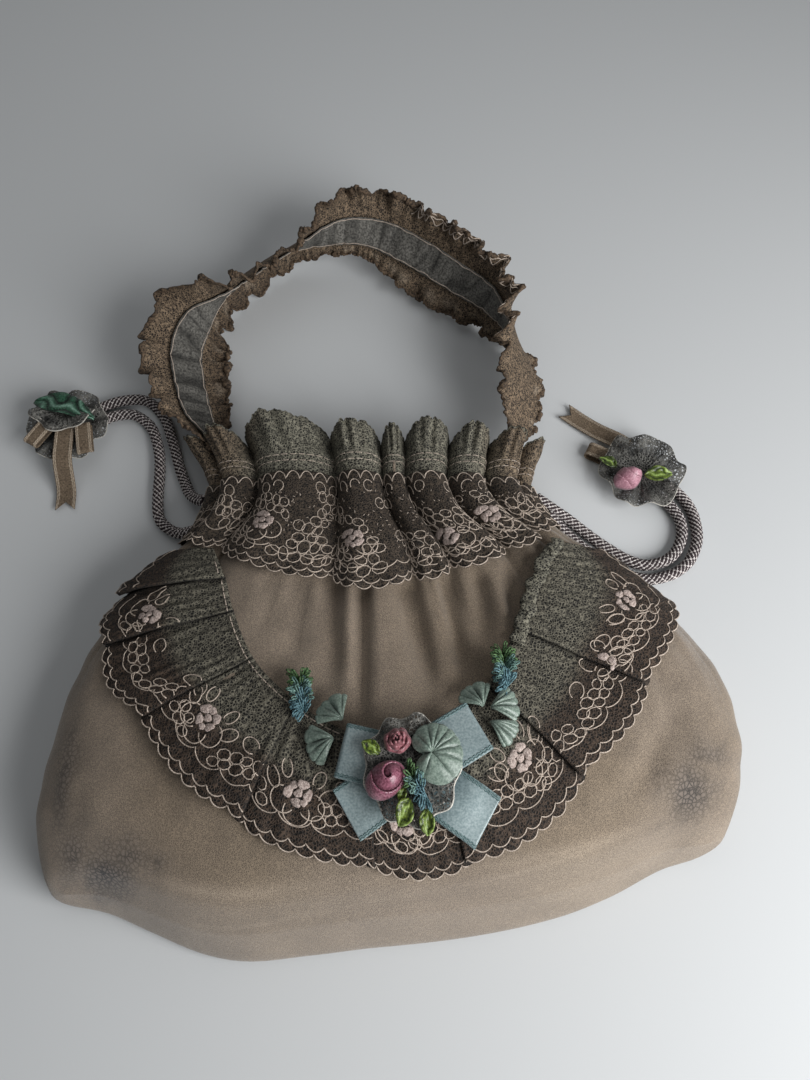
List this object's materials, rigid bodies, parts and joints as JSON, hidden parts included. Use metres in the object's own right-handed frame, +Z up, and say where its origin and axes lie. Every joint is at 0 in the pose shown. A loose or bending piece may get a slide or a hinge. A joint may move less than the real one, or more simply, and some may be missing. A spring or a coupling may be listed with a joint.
{
  "type": "drawstring pouch",
  "caption": "Gathered drawstring pouch of sheer organza with lace frills, a lace swag, a ribbon flower corsage, a frilled lace handle and tasselled cords, lying on its back.",
  "frame": {"origin": "middle of the flat face that the pouch rests on, on the surface it lies on", "axes": "+Y from the base towards the handle, +X to the right of the decorated front, +Z up from the surface"},
  "size_m": [0.3042, 0.3357, 0.065],
  "materials": {
    "organza": "sheer woven organza",
    "heading_lace": "fine lace",
    "brown_lace": "embroidered lace",
    "handle_lace": "frilled lace",
    "handle_band": "plain organza",
    "cord": "braided",
    "tulle": "gathered tulle",
    "satin": "satin ribbon",
    "rose": "satin",
    "mauve": "satin",
    "sage": "pleated silk",
    "leaf": "satin",
    "dark_leaf": "satin",
    "loops": "looped braid",
    "grosgrain": "ribbed ribbon"
  },
  "bodies": {
    "root": {"pouch_body": "organza", "neck_heading": "heading_lace", "neck_lace": "brown_lace", "lace_swag": "brown_lace", "handle_lace": "handle_lace", "handle_band": "handle_band", "drawcord_left_upper": "cord", "drawcord_left_lower": "cord", "drawcord_right_upper": "cord", "drawcord_right_lower": "cord", "tassel_left_rosette": "tulle", "tassel_left_leaf": "dark_leaf", "tassel_left_tail": "grosgrain", "tassel_left_loop_1": "grosgrain", "tassel_left_loop_2": "grosgrain", "tassel_right_rosette": "tulle", "tassel_right_bud": "rose", "tassel_right_leaf_1": "leaf", "tassel_right_leaf_2": "leaf", "tassel_right_tail": "grosgrain", "tassel_right_loop": "grosgrain", "bow_tail_left": "satin", "bow_tail_right": "satin", "bow_loop_left": "satin", "bow_loop_right": "satin", "corsage_rosette": "tulle", "corsage_rose": "rose", "corsage_rosebud": "mauve", "corsage_yoyo": "sage", "corsage_loops": "loops", "corsage_leaf_1": "leaf", "corsage_leaf_2": "leaf", "corsage_leaf_3": "leaf", "corsage_leaf_4": "leaf", "sprig_left_petal_1": "sage", "sprig_left_petal_2": "sage", "sprig_right_petal_1": "sage", "sprig_right_petal_2": "sage", "sprig_right_petal_3": "sage", "sprig_left_loops": "loops", "sprig_right_loops": "loops"}
  },
  "joints": []
}
